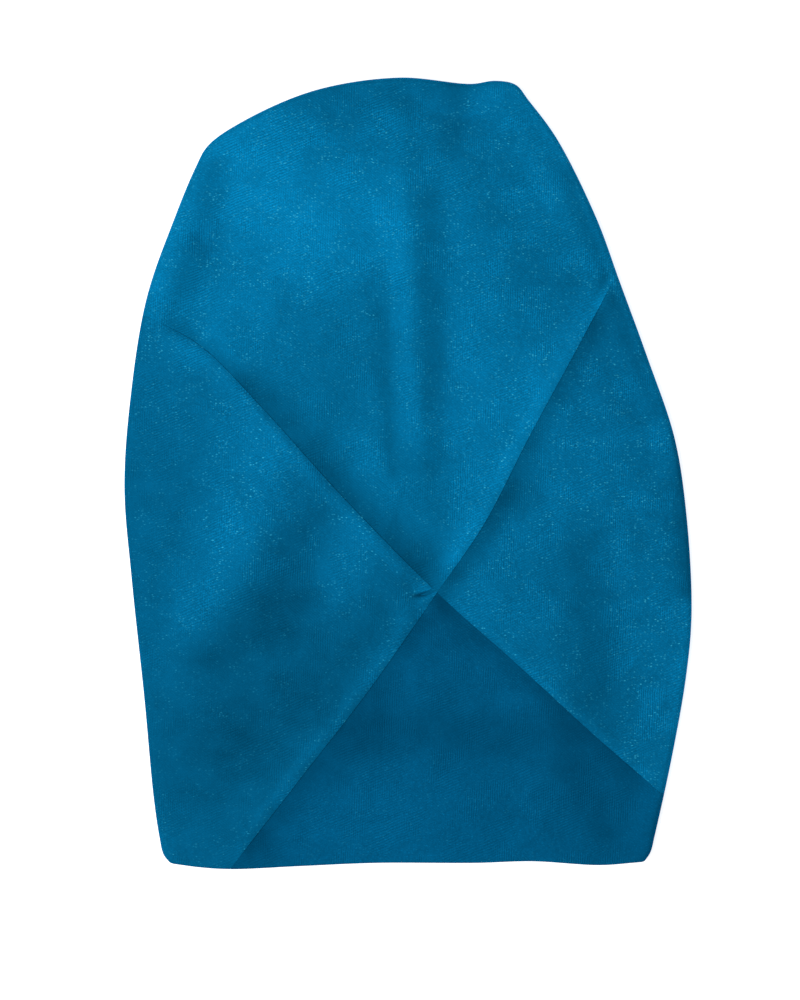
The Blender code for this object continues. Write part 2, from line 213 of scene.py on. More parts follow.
# Where things change along an arm of the X, as shares of its length from the crossing outwards
STEP_FADES = (0.84, 0.99)  # the layers' step runs out and they lie side by side
PAINTED_LIGHT_FADES = (0.90, 1.00)  # the painted highlight and painted shade beside an arm fade
LEFT_CREASE_FADES = (0.70, 1.00)  # the painted shade in the crown's crease under the left wrap fades
LAP_FADES = (0.62, 0.82)  # the hidden lap narrows to a butt seam
TIP_WIDENS = (0.00, 0.12)  # the brow panel's lap widens from its tip
BROW_TIP = 0.35  # share of the lap that the brow panel has at its tip
TUCK_START = 0.7  # how far out the other panels' hidden edges start, in laps
RAISED = 1.3  # how far from a fold an upper layer stays fully raised, in laps

SEAM_GAP = 0.00004  # between edges that are sewn side by side
LAP = 0.007  # margin of a panel that lies hidden under the one that crosses it
SETTLE = 0.026  # width over which an upper layer comes down to the loft
SEAM_TURN = 0.006  # width of the front panels turned under along the back seam
CORNER_EASE = 0.014  # reach over which the side fold turns at a corner of the outline
SWELL_REACH = 0.012  # how far in from the side the side fold's swelling runs out
FOLDS_START = 4  # how far in the soft folds have their full height, in side folds
HEM_FOLDS = 0.3  # share of the soft folds' height that is left at the hem
HEM_THICKER = 0.8  # how much thicker the cloth is where the hem is turned in, in walls
HEM_STEP = 0.002  # reach over which the turned hem's thickness runs out
SIDE_REACH = 0.003  # reach over which an arm's direction is read
THIN_EDGE = 0.12  # share of the wall that is left at a rolled edge
TOP_ROLL = 0.85  # share of the rolling that is on the outside, over an inside that lies flat
ROLL_POWER = 2.1  # how suddenly a rolled edge turns down
PINCHED = 0.28  # share of the cloth's thickness that is left where the layers cross
PINCH_REACH = 0.022  # how far from the crossing the cloth has its full thickness
CORNER_RISE = 0.001  # how much of the left wrap's corner stays raised on the layers under it
CORNER_SPREAD = 0.45  # how far in from its edge it comes down to the brow, as a share of its length
LEVEL_BLEND = 0.0003  # how softly the left wrap goes from one lower layer to the other

# Waves in the cloth: how many, their lengths, and the seed of their draw
WAVE_COUNT = 22
WAVE_LENGTHS = (0.020, 0.065)
WAVE_SEED = 11
SIDE_WAVES = ((4.3, 0.6), (9.1, 2.1))  # turns along the outline, and starting angle
SIDE_SWELL = 0.07  # how much each of those swells the side fold, as a share of it

# The back's waves: their height as a share of the front's fine ones, and the reach from the border
# over which they rise
BACK_WAVES = 0.25
BACK_WAVES_REACH = 0.03

# Points along the lines
OUTLINE_STEPS = 900
CURVE_STEPS = 400
PINCH_STEPS = 60
PIECE_STEPS = 160
BACK_RIM_STEPS = 521
BACK_HEM_STEPS = 121
BATCH = 4000  # points that are measured against a line at a time
TINY_SQUARE = 1e-9  # keeps the distance to a line from being 0

# The mesh
FOLD_CELLS = 14  # rows round the side fold
TURN_CELLS = 2  # rows of the cloth turned under
BACK_CELL = 0.004  # pitch of the back's cuts
SAME_PLACE = 1e-6  # a cut keeps to a corner that is nearer than this
CROWDING = 0.85  # how strongly the mesh crowds towards visible edges

SHARP_ANGLE = 50.0  # degrees from which an edge isn't smoothed over

# The mesh's attributes that the satin reads
CLOTH_PLACE = "cloth_place"
# the painted light and shade that the panels carry on each vertex
CLOTH_PAINTED_LIGHT = "cloth_painted_light"

MM = 1000.0  # millimetres in a metre

# The satin's sets of fine lines: angle in degrees, and pitch in millimetres
TWILL = (22.0, 1.30)
UPRIGHT = (88.0, 1.15)
SLANT = (-38.0, 1.05)
THREAD_STRETCH = (0.62, 1.20, 1.00)  # makes the small threads longer than they are wide
BUMP_HEIGHT = 0.00014

# The stage
LAMP_PLACE = (-0.52, -0.16, 1.49)
LAMP_TARGET = (0.0, 0.02, 0.0)
VIEW_CENTRE = (-0.004, -0.01325)
SENSOR = 0.024
FLOOR_SIZE = 6.0
FLOOR_DROP = 0.0001  # how far the floor lies under the cap's back
FLOOR_GRAIN = 0.02
WHITE = (1.0, 1.0, 1.0, 1.0)


def length(name, description, default):
    """A size in metres."""
    return bpy.props.FloatProperty(
        name=name, description=description, default=default, unit="LENGTH", precision=4, min=0.0
    )


def colour(name, description, default):
    """A linear colour."""
    return bpy.props.FloatVectorProperty(
        name=name,
        description=description,
        default=default,
        subtype="COLOR",
        size=3,
        min=0.0,
        max=1.0,
    )


def amount(name, description, default, **limits):
    """A plain number that isn't below 0."""
    return bpy.props.FloatProperty(
        name=name, description=description, default=default, min=0.0, **limits
    )


class BandanaSizes(bpy.types.PropertyGroup):
    """Sizes of the cap and its cloth."""

    cap_width: length("Cap width", "Widest part of the cap, lying flat", 0.284)
    cap_length: length("Cap length", "From the hem to the top, lying flat", 0.3965)
    loft: length("Loft", "Height of the front away from its edges", 0.020)
    side_fold: length("Side fold", "Outer radius of the fold round the sides", 0.0045)
    side_round: length("Side round", "Width of the fold round the sides, seen from above", 0.0021)
    side_slope: length("Side slope", "How far in the front reaches its loft", 0.062)
    hem_slope: length("Hem slope", "How far up from the hem the front reaches its loft", 0.095)
    cloth: length("Cloth", "Thickness of the single cloth", 0.0008)
    wrap_cloth: length("Wrap cloth", "Thickness of the doubled cloth of the wraps", 0.0013)
    layer_gap: length("Layer gap", "Air between two layers that cross", 0.0002)
    fold_roll: length("Fold roll", "Width over which a folded edge rounds off", 0.0055)
    fold_puff: length("Fold puff", "How much thicker the cloth is along a folded edge", 0.0005)
    puff_width: length("Puff width", "How far in from its edge a fold is thicker", 0.009)
    trough: length("Trough", "How far a lower layer dips beside a fold", 0.0012)
    trough_width: length("Trough width", "Width of the dip beside a fold", 0.014)
    crossing_sink: length("Crossing sink", "How far the layers sink where they cross", 0.0022)
    hem_turn: length("Hem turn", "Width of the hem turned inside", 0.011)
    ripple: length("Ripple", "Height of the fine waves in the cloth", 0.00013)
    hem_rise: amount(
        "Hem rise",
        "Share of the rise over the side fold that is left at the hem",
        0.25,
        max=1.0,
        subtype="FACTOR",
    )


class BandanaColours(bpy.types.PropertyGroup):
    """Colours of the satin and of the stage."""

    # The panels are one satin in copies of different brightness: the crown's lighter copy is
    # painted light and the brow's darker copy painted shade.
    crown: colour("Crown", "Satin of the crown", (0.0010, 0.166, 0.358))
    wrap: colour("Wraps", "Satin of the two wraps", (0.0010, 0.145, 0.314))
    brow: colour("Brow", "Satin over the brow", (0.0006, 0.106, 0.240))
    back: colour("Back", "Satin of the back", (0.0028, 0.140, 0.300))
    # The colour of the painted glints on the satin's tiny threads.
    painted_glint: colour("Sparkle", "Bright threads in the satin", (0.040, 0.500, 0.740))
    sheen: colour("Sheen", "Tint of the satin's gloss", (0.010, 0.480, 1.000))
    floor: colour("Floor", "Plain studio floor", (0.900, 0.900, 0.900))


class BandanaStage(bpy.types.PropertyGroup):
    """The camera and the light."""

    view_height: length("View height", "Height of the photo's frame at the cap", 0.500)
    camera_height: length("Camera height", "How far up the camera is", 4.0)
    lamp_size: length("Lamp size", "Side of the soft lamp", 0.70)
    lamp_power: amount("Lamp power", "Power of the soft lamp in watts", 17.0)
    fill: amount("Fill", "Strength of the even light from all round", 0.28)
    floor_glow: amount("Floor glow", "Light that the floor itself gives", 0.76)


def rows_of(table):
    """The rows of a table without its heading."""
    return np.array(table[1:], dtype=float)


def smooth(t):
    """Rises from 0 to 1 as t does, level at both ends."""
    t = np.clip(t, 0.0, 1.0)
    return t * t * (3 - 2 * t)


def between(share, fades):
    """Rises from 0 to 1 between two shares of an arm's length."""
    first, last = fades
    return smooth((share - first) / (last - first))


def hill(distance, width):
    """1 at no distance, falling off over a width."""
    return np.exp(-((distance / width) ** 2))


def crowded(t, start, end):
    """Places from 0 to 1, crowded towards the ends that show."""
    eased = {
        (True, True): smooth(t),
        (True, False): 1 - np.cos(np.pi * t / 2),
        (False, True): np.sin(np.pi * t / 2),
        (False, False): t,
    }[start, end]
    return t + CROWDING * (eased - t)


def smooth_curve(points, steps=CURVE_STEPS):
    """Many points along a smooth curve through a few."""
    knots = np.concatenate([[0.0], np.sqrt(np.linalg.norm(np.diff(points, axis=0), axis=1))])
    knots = np.cumsum(knots)
    slopes = np.gradient(points, knots, axis=0)
    at = np.linspace(0.0, knots[-1], steps)
    i = np.clip(np.searchsorted(knots, at, side="right") - 1, 0, len(points) - 2)
    gap = (knots[i + 1] - knots[i])[:, None]
    t = (at - knots[i])[:, None] / gap
    start = (2 * t**3 - 3 * t**2 + 1) * points[i] + (t**3 - 2 * t**2 + t) * gap * slopes[i]
    end = (3 * t**2 - 2 * t**3) * points[i + 1] + (t**3 - t**2) * gap * slopes[i + 1]
    return start + end


class Line:
    """A plan curve, read by its share of length from 0 to 1."""

    def __init__(self, points):
        self.points = points
        steps = np.linalg.norm(np.diff(points, axis=0), axis=1)
        self.length = steps.sum()
        self.share = np.concatenate([[0.0], np.cumsum(steps)]) / self.length
        self.asked, self.answer = None, None

    def at(self, share):
        """Points at these shares of the length."""
        return np.stack(
            [np.interp(share, self.share, self.points[:, axis]) for axis in (0, 1)], axis=-1
        )

    def left(self, share, reach=SIDE_REACH):
        """Unit normals to the left of the line, read over a reach on both sides of each point."""
        window = reach / self.length
        ahead = self.at(np.clip(np.asarray(share) + window, 0.0, 1.0))
        along = ahead - self.at(np.clip(np.asarray(share) - window, 0.0, 1.0))
        along = along / np.linalg.norm(along, axis=-1, keepdims=True)
        return np.stack([-along[..., 1], along[..., 0]], axis=-1)

    def squared_gaps(self, batch):
        """Squared distances from each point of a batch to each point of the line."""
        squares = (batch**2).sum(axis=-1)[:, None] + (self.points**2).sum(axis=-1)
        return np.maximum(squares - 2 * batch @ self.points.T, 0.0)

    def nearest(self, points):
        """Distance to the line, and share of its length at the nearest place."""
        if points is self.asked:
            return self.answer
        flat = np.asarray(points, float).reshape(-1, 2)
        away = np.empty(len(flat))
        share = np.empty(len(flat))
        for first in range(0, len(flat), BATCH):
            batch = flat[first : first + BATCH]
            middle = self.squared_gaps(batch).argmin(axis=1)
            middle = np.clip(middle, 1, len(self.points) - 2)
            found = []
            for i in (middle - 1, middle):
                start, run = self.points[i], self.points[i + 1] - self.points[i]
                t = np.clip(((batch - start) * run).sum(-1) / (run * run).sum(-1), 0.0, 1.0)
                gap = np.linalg.norm(batch - start - t[:, None] * run, axis=-1)
                found.append((gap, self.share[i] + t * (self.share[i + 1] - self.share[i])))
            (gap_a, share_a), (gap_b, share_b) = found
            away[first : first + BATCH] = np.minimum(gap_a, gap_b)
            share[first : first + BATCH] = np.where(gap_a <= gap_b, share_a, share_b)
        shape = np.shape(points)[:-1]
        self.asked, self.answer = points, (away.reshape(shape), share.reshape(shape))
        return self.answer

    def soft_distance(self, points):
        """Distance to the line, without a crease where two stretches of it are equally near.

        Beside a straight line the whole sum is 3 pi / 8 over the distance to the 5th power.
        """
        steps = np.gradient(self.share) * self.length
        total = np.empty(len(points))
        for first in range(0, len(points), BATCH):
            closeness = 1 / (self.squared_gaps(points[first : first + BATCH]) + TINY_SQUARE)
            total[first : first + BATCH] = closeness * closeness * closeness @ steps
        return (total / (3 * np.pi / 8)) ** -0.2

    def piece(self, first, last):
        """The stretch from one share to another, in that direction."""
        return Line(self.at(np.linspace(first, last, PIECE_STEPS)))


class Cap:
    """The cap's plan lines and its heights, worked out from its sizes."""

    def __init__(self, sizes):
        self.sizes = sizes
        self.outline = Line(smooth_curve(self.in_metres(rows_of(OUTLINE)), OUTLINE_STEPS))
        hem_points = self.in_metres(rows_of(HEM))
        directions = hem_points[[1, -2]] - hem_points[[0, -1]]
        self.hem_directions = directions / np.linalg.norm(directions, axis=1, keepdims=True)
        hem_points[0] = self.rim(0.0)
        hem_points[-1] = self.rim(1.0)
        self.hem = Line(smooth_curve(hem_points))

        long_run = self.in_metres(rows_of(LONG_FOLD))
        cross_run = self.in_metres(rows_of(CROSS_FOLD))
        self.hem_place = float(self.hem.nearest(long_run[0])[1])
        self.left_top = self.on_outline(cross_run[0])
        self.right_top = self.on_outline(long_run[-1])
        self.right_low = self.on_outline(cross_run[-1])
        self.crossing = self.in_metres(CROSSING)
        self.hem_arm, self.crown_arm = self.arms(
            long_run, self.hem.at(self.hem_place), self.rim(self.right_top)
        )
        self.left_arm, self.right_arm = self.arms(
            cross_run, self.rim(self.left_top), self.rim(self.right_low)
        )

        draw = np.random.default_rng(WAVE_SEED)
        angle = draw.uniform(0.0, np.pi, WAVE_COUNT)
        wavelength = np.exp(draw.uniform(*np.log(WAVE_LENGTHS), WAVE_COUNT))
        heading = np.stack([np.cos(angle), np.sin(angle)], axis=-1)
        self.wave_numbers = 2 * np.pi * heading / wavelength[:, None]
        self.wave_starts = draw.uniform(0.0, 2 * np.pi, WAVE_COUNT)
        self.wave_heights = wavelength / WAVE_LENGTHS[1]

    def arms(self, run, first, last):
        """The two arms of a folded edge, from the crossing to the ends that are given."""
        run[0], run[-1] = first, last
        fold = Line(smooth_curve(run))
        middle = float(fold.nearest(self.crossing)[1])
        return fold.piece(middle, 0.0), fold.piece(middle, 1.0)

    def in_metres(self, shares):
        """Plan points from shares of half the width and of the length."""
        scale = np.array([self.sizes.cap_width / 2, self.sizes.cap_length])
        return (np.asarray(shares, float) - [0.0, 0.5]) * scale

    def fold_radius(self, share):
        """Half the side fold's height, which swells and thins along the outline."""
        share = np.asarray(share, float)
        waves = sum(np.sin(2 * np.pi * turns * share + start) for turns, start in SIDE_WAVES)
        return self.sizes.side_fold * (1 + SIDE_SWELL * waves)

    def inset(self, share, depth):
        """The outline's points moved in by a depth, along the hem at the outline's ends."""
        share = np.asarray(share, float)
        inward = -self.outline.left(share, CORNER_EASE)
        for at_end, along_hem in ((0.0, self.hem_directions[0]), (1.0, self.hem_directions[1])):
            near = 1 - smooth(np.abs(share - at_end) * self.outline.length / CORNER_EASE)
            inward = inward + near[..., None] * (along_hem - inward)
        inward = inward / np.linalg.norm(inward, axis=-1, keepdims=True)
        return self.outline.at(share) + inward * np.asarray(depth)[..., None]

    def rim(self, share):
        """Where the front starts to turn down round the side."""
        return self.inset(share, np.full(np.shape(share), self.sizes.side_round))

    def on_outline(self, point):
        """The share of the outline nearest to a plan point."""
        return float(self.outline.nearest(point)[1])

    def strokes(self, points, table):
        """The sum of a table's soft straight runs at plan points."""
        total = np.zeros(len(points))
        for _, x0, y0, x1, y1, width, amount in table[1:]:
            start, end = self.in_metres((x0, y0)), self.in_metres((x1, y1))
            run = end - start
            along = np.clip((points - start) @ run / (run @ run), 0.0, 1.0)
            aside = np.linalg.norm(points - start - along[:, None] * run, axis=-1)
            total += amount * hill(aside, width * self.sizes.cap_width / 2)
        return total

    def soft_folds(self, points):
        """Height that the soft folds, dents and waves add at plan points."""
        phase = points @ self.wave_numbers.T + self.wave_starts
        waves = np.sin(phase) @ self.wave_heights * self.sizes.ripple
        return waves + self.strokes(points, SOFT_FOLDS) / MM

    def front_height(self, points):
        """Height of the front's outside where no layer crosses another."""
        sizes = self.sizes
        swell = self.fold_radius(self.outline.nearest(points)[1]) - sizes.side_fold
        from_side = self.outline.soft_distance(points) - sizes.side_round
        swell = 2 * swell * (1 - smooth(from_side / SWELL_REACH))
        from_hem = points[..., 1] - np.interp(
            points[..., 0], self.hem.points[:, 0], self.hem.points[:, 1]
        )
        rise = sizes.hem_rise + (1 - sizes.hem_rise) * smooth(from_hem / sizes.hem_slope)
        rise = rise * smooth(from_side / sizes.side_slope) * (sizes.loft - 2 * sizes.side_fold)
        start = FOLDS_START * sizes.side_fold
        clear_of_side = smooth(from_side / start)
        clear_of_hem = HEM_FOLDS + (1 - HEM_FOLDS) * smooth(from_hem / start)
        folds = self.soft_folds(points) * clear_of_side * clear_of_hem
        return 2 * sizes.side_fold + swell + rise + folds

    def raised_near(self, away):
        """How fully an upper layer is raised at a distance from what it crosses."""
        return 1 - smooth((away - RAISED * LAP) / SETTLE)

    def over(self, points, arm):
        """How fully an upper layer is raised along an arm."""
        away, share = arm.nearest(points)
        return (1 - between(share, STEP_FADES)) * self.raised_near(away)

    def under(self, points, arm, hidden):
        """How fully a lower layer is pressed down along an arm. hidden is 1 if it hides left."""
        away, share = arm.nearest(points)
        side = np.sum((points - arm.at(share)) * arm.left(share), axis=-1) * hidden
        beside = (1 - np.clip(away / self.sizes.trough_width, 0.0, 1.0)) ** 2
        return (1 - between(share, STEP_FADES)) * np.where(side > 0, 1.0, beside)

    def from_crossing(self, points):
        """Distance to the place where the folded edges cross."""
        return np.linalg.norm(points - self.crossing, axis=-1)

    def wall_at(self, points, cloth):
        """Thickness of a layer, which is pinched thinner where the layers cross."""
        away = self.from_crossing(points)
        return cloth * (PINCHED + (1 - PINCHED) * smooth(away / PINCH_REACH))

    def puff(self, points, arms):
        """How much thicker a panel is near the folded edges that it has along these arms."""
        height = np.zeros(points.shape[:-1])
        for arm in arms:
            away, share = arm.nearest(points)
            near = 1 - smooth(away / self.sizes.puff_width)
            height = np.maximum(height, near * (1 - between(share, STEP_FADES)))
        return height * self.sizes.fold_puff * smooth(self.from_crossing(points) / PINCH_REACH)

    def brow_level(self, points):
        """Height of the lowest layer's outside over the plain front."""
        pressed = np.maximum(
            self.under(points, self.hem_arm, -1), self.under(points, self.right_arm, 1)
        )
        near_crossing = self.raised_near(self.from_crossing(points))
        return -pressed * self.sizes.trough - self.sizes.crossing_sink * near_crossing

    def step(self, points, cloth):
        """How much higher a layer of this cloth lies than the layer under it."""
        return self.wall_at(points, cloth + self.sizes.layer_gap)

    def middle_level(self, points, below, cloth, own_arm, upper_arm):
        """A layer that lies on one panel along its own arm, and under one along an upper arm."""
        pressed = -self.under(points, upper_arm, 1) * self.sizes.trough
        raised = below + self.step(points, cloth)
        level = pressed + self.over(points, own_arm) * (raised - pressed)
        return level + self.puff(points, [own_arm])

    def right_level(self, points):
        """The right wrap lies on the brow panel and goes under the crown."""
        below, cloth = self.brow_level(points), self.sizes.wrap_cloth
        return self.middle_level(points, below, cloth, self.right_arm, self.crown_arm)

    def crown_level(self, points):
        """The crown lies on the right wrap and goes under the left wrap."""
        below, cloth = self.right_level(points), self.sizes.cloth
        return self.middle_level(points, below, cloth, self.crown_arm, self.left_arm)

    def left_level(self, points):
        """The left wrap lies on the crown and on the brow panel."""
        step = self.step(points, self.sizes.wrap_cloth)
        on_crown = self.over(points, self.left_arm) * (self.crown_level(points) + step)
        on_brow = self.over(points, self.hem_arm) * (self.brow_level(points) + step)
        apart = np.sqrt((on_crown - on_brow) ** 2 + LEVEL_BLEND**2) - LEVEL_BLEND
        higher = (on_crown - on_brow + apart) / 2
        from_brow = self.hem_arm.nearest(points)[0]
        spread = CORNER_SPREAD * self.from_crossing(points)
        clear = (from_brow + CORNER_RISE) / (spread + CORNER_RISE)
        level = on_brow + smooth(clear) * higher
        return level + self.puff(points, [self.left_arm, self.hem_arm])

    def pinch(self, points):
        """How deep in the small pinched crease each point lies, and how high on the lip above."""
        crease = Line(smooth_curve(self.in_metres(PINCH), PINCH_STEPS))
        away, share = crease.nearest(points)
        left = crease.left(share, PINCH_SIDE_REACH)
        side = np.sum((points - crease.at(share)) * left, axis=-1)
        fades = np.sin(np.pi * np.clip(share, 0.02, 0.98)) ** 0.5
        lip = smooth(side / PINCH_LIP[0]) * hill(away, 2 * PINCH_LIP[0])
        return fades * hill(away, PINCH_GROOVE[0]), fades * lip

    def hidden_margin(self, share):
        """Width of a panel past an arm: a lap along most of it, and a butt seam at its end."""
        butt = between(share, LAP_FADES)
        return LAP * (1 - butt) - SEAM_GAP * butt

    def hidden_edge(self, arm, hidden, start=0.0, tip=1.0):
        """The edge of a lower panel past an arm, from near the crossing to the arm's end."""

        def edge(along):
            share = start / arm.length + (1 - start / arm.length) * along
            whole = tip + (1 - tip) * between(share, TIP_WIDENS)
            offset = hidden * self.hidden_margin(share) * whole
            return arm.at(share) + arm.left(share) * offset[..., None]

        return edge


def straight(start, end):
    """A straight short edge between two plan points."""
    return lambda along: start + np.asarray(along)[..., None] * (end - start)


class Panel:
    """A front panel: a plan patch up to the side fold, then the fold and the turn under it."""

    folded = ()  # the arms along which the panel has a folded edge
    crossed = ()  # the arms along which another panel's fold lies on it
    has_hem = False
    crease = (0.0, 0.01)  # strength and reach of the painted shade in the crease beside a fold that lies on the panel
    crease_fades = PAINTED_LIGHT_FADES
    painted_edge_highlight = (0.08, 0.006)  # strength and reach of the painted highlight along a folded edge
    shows = (False, False, False)  # whether its start, end and inner edges show

    def __init__(self, cap):
        self.cap = cap
        self.lay_out()

    def plan(self, across, out):
        """Plan points of the patch: across from one edge to the other, out towards the side."""
        first, last = self.outer
        rim = self.cap.rim(first + (last - first) * across)
        ends = np.array([0.0, 1.0])
        corner = self.inner(ends)
        rim_corner = self.cap.rim(first + (last - first) * ends)
        a, o = across[..., None], out[..., None]
        patch = (1 - o) * self.inner(across) + o * rim
        for edge, weight, k in ((self.start, 1 - a, 0), (self.end, a, 1)):
            line = edge(out)
            near, far = edge(np.zeros(1))[0], edge(np.ones(1))[0]
            line = line + (1 - o) * (corner[k] - near) + o * (rim_corner[k] - far)
            patch += weight * (line - (1 - o) * corner[k] - o * rim_corner[k])
        return patch

    def walls(self, plan):
        """The wall's thickness, and how far it draws in to round off a visible edge."""
        sizes = self.cap.sizes
        wall = self.cap.wall_at(plan, self.cloth) + self.cap.puff(plan, self.folded)
        profile = np.ones(len(plan))
        for arm in self.folded:
            away, share = arm.nearest(plan)
            t = 1 - np.clip(away / sizes.fold_roll, 0.0, 1.0)
            flush = 1 - between(share, STEP_FADES)
            profile = np.minimum(profile, 1 - flush * t**ROLL_POWER)
        if self.has_hem:
            away = self.cap.hem.nearest(plan)[0]
            turned = 1 - smooth((away - sizes.hem_turn) / HEM_STEP)
            wall = wall + self.cloth * HEM_THICKER * turned
            t = 1 - np.clip(away / sizes.cloth, 0.0, 1.0)
            profile = np.minimum(profile, np.sqrt(1 - t * t))
        profile = THIN_EDGE + (1 - THIN_EDGE) * profile
        return wall, wall * (1 - profile)

    def surfaces(self, across, row):
        """Outside, inside and cloth places for places across and rows out."""
        rows_out = self.cells[1]
        start_shows, end_shows, inner_shows = self.shows
        across = crowded(across, start_shows, end_shows)
        plan = self.plan(across, crowded(np.clip(row / rows_out, 0.0, 1.0), inner_shows, False))
        wall, drawn_in = self.walls(plan)
        height = self.cap.front_height(plan) + self.level(plan) + self.detail(plan)
        flat = [
            np.concatenate([plan, (height - drop)[:, None]], axis=1)
            for drop in (TOP_ROLL * drawn_in, wall - (1 - TOP_ROLL) * drawn_in)
        ]

        first, last = self.outer
        share = first + (last - first) * across
        radius, width = self.cap.fold_radius(share), self.cap.sizes.side_round
        turn = np.pi * np.clip((row - rows_out) / FOLD_CELLS, 0.0, 1.0)
        strip = SEAM_TURN + self.cap.sizes.side_fold - width
        tail = np.clip((row - rows_out - FOLD_CELLS) / TURN_CELLS, 0.0, 1.0) * strip
        folded = []
        for drop in (TOP_ROLL * drawn_in, wall - (1 - TOP_ROLL) * drawn_in):
            place = self.cap.inset(share, width - (width - drop) * np.sin(turn) + tail)
            height = radius + (radius - drop) * np.cos(turn)
            folded.append(np.concatenate([place, height[:, None]], axis=1))
        on_patch = (row <= rows_out)[:, None]
        outside, inside = [np.where(on_patch, a, b) for a, b in zip(flat, folded)]
        spread = self.cap.inset(share, width - radius * turn - tail)
        cloth = np.where(on_patch, plan, spread)
        return outside, inside, cloth

    def detail(self, plan):
        """Height of this panel's own small creases."""
        return np.zeros(len(plan))

    def tone(self, plan):
        """The painted light and shade on the satin: painted shade in the creases, painted
        highlights along the folded edges, and the painted strokes.
        """
        tone = self.cap.strokes(plan, PAINTED_LIGHT_STROKES)
        for arms, (most, reach), fades in (
            (self.crossed, self.crease, self.crease_fades),
            (self.folded, self.painted_edge_highlight, PAINTED_LIGHT_FADES),
        ):
            for arm in arms:
                away, share = arm.nearest(plan)
                tone = tone + most * hill(away, reach) * (1 - between(share, fades))
        return tone


class BrowPanel(Panel):
    """The lowest layer, over the brow."""

    cells = (120, 130)
    # painted shade in the crease beside the folds that lie on it
    crease = (-0.14, 0.009)
    has_hem = True
    shows = (False, True, False)

    def lay_out(self):
        cap = self.cap
        self.cloth, self.level = cap.sizes.cloth, cap.brow_level
        self.crossed = (cap.hem_arm, cap.right_arm)
        self.outer = (cap.right_low + SEAM_GAP / cap.outline.length, 1.0)
        self.start = cap.hidden_edge(cap.right_arm, 1, tip=BROW_TIP)
        hem = cap.hem.piece(cap.hem_place + SEAM_GAP / cap.hem.length, 1.0)
        self.end = hem.at
        self.side = cap.hidden_edge(cap.hem_arm, -1, tip=BROW_TIP)
        self.tip = cap.crossing + BROW_TIP * LAP * (cap.right_arm.left(0.0) - cap.hem_arm.left(0.0))

    def inner(self, across):
        shift = self.tip - self.side(np.zeros(1))[0]
        return self.side(across) + (1 - across)[..., None] * shift


class RightWrap(Panel):
    """The wrap on the right, between the crown and the brow."""

    cells = (170, 130)
    # painted shade beside the crown's fold, and a faint painted highlight along its own folded edge
    crease = (-0.30, 0.008)
    painted_edge_highlight = (0.03, 0.006)
    shows = (False, True, False)

    def lay_out(self):
        cap = self.cap
        self.cloth, self.level = cap.sizes.wrap_cloth, cap.right_level
        self.folded, self.crossed = (cap.right_arm,), (cap.crown_arm,)
        self.outer = (cap.right_top + SEAM_GAP / cap.outline.length, cap.right_low)
        self.start = cap.hidden_edge(cap.crown_arm, 1, start=TUCK_START * LAP)
        self.end = cap.right_arm.at
        self.inner = straight(self.start(np.zeros(1))[0], cap.crossing)


class Crown(Panel):
    """The crown, over the right wrap and under the left one."""

    cells = (230, 180)
    # painted shade in the crease under the left wrap, and a painted highlight along its own folded
    # edge
    crease = (-0.42, 0.012)
    crease_fades = LEFT_CREASE_FADES
    painted_edge_highlight = (0.22, 0.009)
    shows = (False, True, False)

    def lay_out(self):
        cap = self.cap
        self.cloth, self.level = cap.sizes.cloth, cap.crown_level
        self.folded, self.crossed = (cap.crown_arm,), (cap.left_arm,)
        self.outer = (cap.left_top + SEAM_GAP / cap.outline.length, cap.right_top)
        self.start = cap.hidden_edge(cap.left_arm, 1, start=TUCK_START * LAP)
        self.end = cap.crown_arm.at
        self.inner = straight(self.start(np.zeros(1))[0], cap.crossing)


class LeftWrap(Panel):
    """The top layer, on the left."""

    cells = (210, 150)
    has_hem = True
    shows = (True, True, True)

    def lay_out(self):
        cap = self.cap
        self.cloth, self.level = cap.sizes.wrap_cloth, cap.left_level
        self.folded = (cap.left_arm, cap.hem_arm)
        self.outer = (0.0, cap.left_top)
        self.start = cap.hem.piece(cap.hem_place, 0.0).at
        self.end = cap.left_arm.at
        self.inner = cap.hem_arm.piece(1.0, 0.0).at

    def detail(self, plan):
        groove, lip = self.cap.pinch(plan)
        return PINCH_GROOVE[1] * groove + PINCH_LIP[1] * lip

    def tone(self, plan):
        groove, lip = self.cap.pinch(plan)
        # painted shade in the pinch's groove and a painted highlight on its lip
        return super().tone(plan) + PINCH_GROOVE[2] * groove + PINCH_LIP[2] * lip


class Wire:
    """A node's output that arithmetic can be written with."""

    def __init__(self, shader, socket):
        self.shader, self.socket = shader, socket

    def math(self, operation, *inputs):
        return self.shader.add("Math", {"operation": operation}, dict(enumerate(inputs)))

    def __add__(self, other):
        return self.math("ADD", self, other)

    def __sub__(self, other):
        return self.math("SUBTRACT", self, other)

    def __rsub__(self, other):
        return self.math("SUBTRACT", other, self)

    def __mul__(self, other):
        return self.math("MULTIPLY", self, other)

    __radd__ = __add__

    def sine(self):
        return self.math("SINE", self)

    def ramp(self, low, high):
        """Rises smoothly from 0 to 1 as the value goes from low to high."""
        return self.shader.add(
            "MapRange",
            {"interpolation_type": "SMOOTHSTEP"},
            {"Value": self, "From Min": low, "From Max": high},
        )


